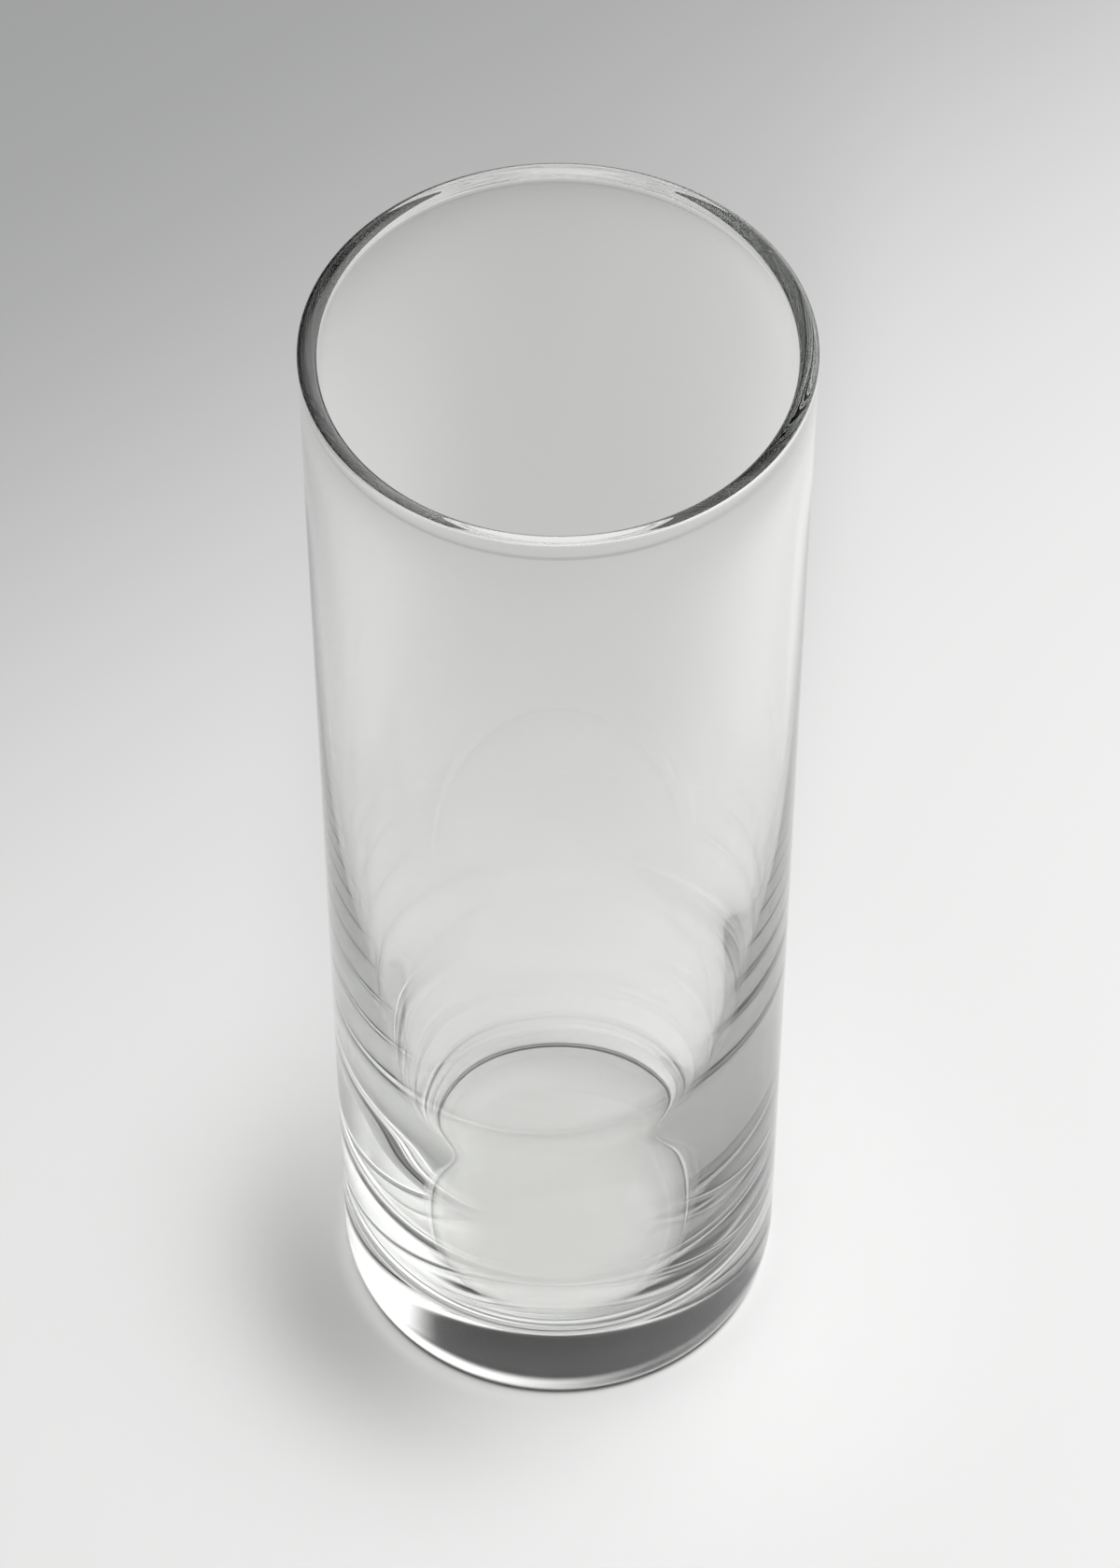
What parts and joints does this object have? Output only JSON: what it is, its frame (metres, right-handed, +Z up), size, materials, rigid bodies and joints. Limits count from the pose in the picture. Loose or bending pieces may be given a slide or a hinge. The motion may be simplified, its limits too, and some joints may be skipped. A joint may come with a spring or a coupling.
{
  "type": "highball glass",
  "caption": "Tall straight-sided drinking glass with a slight taper, a fire-polished lip and a heavy solid base that stands on a flat foot ring.",
  "frame": {"origin": "on the surface that the glass stands on, under the middle of the base", "axes": "+Z up along the axis of the glass, X and Y level and alike, since the glass is round"},
  "size_m": [0.0582, 0.0582, 0.163],
  "materials": {
    "clear_glass": "clear soda-lime glass, fire-polished, with a faint grey-green tint in thick places"
  },
  "bodies": {
    "root": {"tumbler": "clear_glass"}
  },
  "joints": []
}
